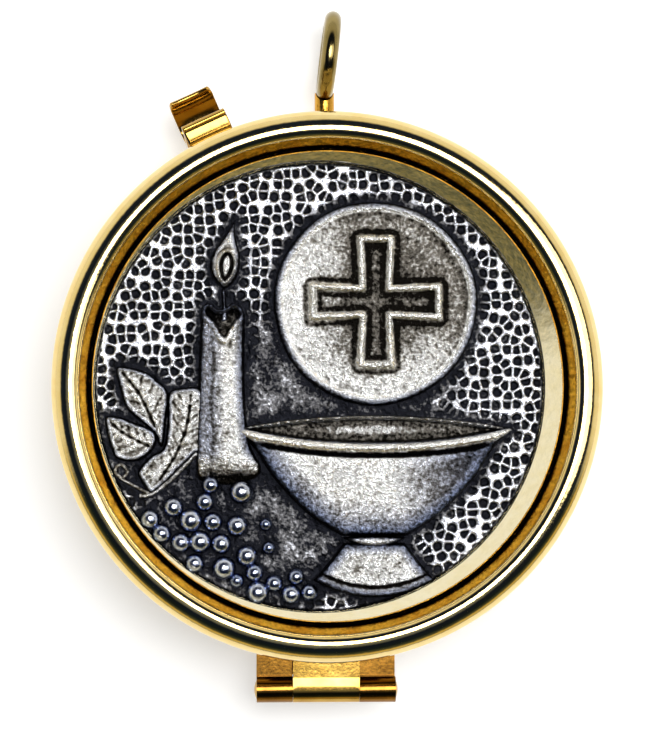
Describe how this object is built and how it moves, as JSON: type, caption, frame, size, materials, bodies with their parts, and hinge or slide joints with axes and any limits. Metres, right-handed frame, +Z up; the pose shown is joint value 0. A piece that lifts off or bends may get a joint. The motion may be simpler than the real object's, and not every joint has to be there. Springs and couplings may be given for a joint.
{
  "type": "pyx",
  "caption": "Round gilt case for carrying communion hosts: shallow cup, hinged lid with a sunk relief medallion, sprung catch and a fixed cord ring.",
  "frame": {"origin": "centre of the cup's flat underside, which rests on a table", "axes": "+Z up through the case's axis to the medallion, +Y from the hinge to the cord ring, +X to the right as the medallion is read"},
  "size_m": [0.054, 0.0699, 0.016],
  "materials": {
    "gilt_spun": "polished gilt, spun and turned",
    "gilt_strip": "polished gilt strip, bent and soldered",
    "gilt_cast": "gilt casting, rough in its recesses",
    "oxidised_pewter": "cast pewter, blackened and then polished on its high places",
    "setting_cement": "hard setting cement, out of sight"
  },
  "bodies": {
    "base": {"base_cup": "gilt_spun", "base_mouth_ring": "gilt_spun", "base_hinge_leaf": "gilt_strip", "hinge_pin": "gilt_strip", "catch_nib": "gilt_strip", "bail_post": "gilt_cast", "bail_ring": "gilt_cast"},
    "lid": {"lid_rim_ring": "gilt_spun", "lid_dish": "gilt_cast", "medallion_cement": "setting_cement", "medallion": "oxidised_pewter", "lid_hinge_leaf": "gilt_strip", "catch_tab": "gilt_strip"},
    "catch": {"catch_leaf": "gilt_strip"}
  },
  "joints": [
    {"name": "lid_hinge", "type": "hinge", "parent": "base", "child": "lid", "pos_m": [0, -0.03, 0.00875], "axis": [1, 0, 0], "range_deg": [0, 180]},
    {"name": "catch_flex", "type": "hinge", "parent": "lid", "child": "catch", "pos_m": [-0.01221, 0.02619, 0.0123], "axis": [0.9063, 0.4226, 0], "range_deg": [0, 8], "stiffness_Nm_per_rad": 0.05}
  ]
}
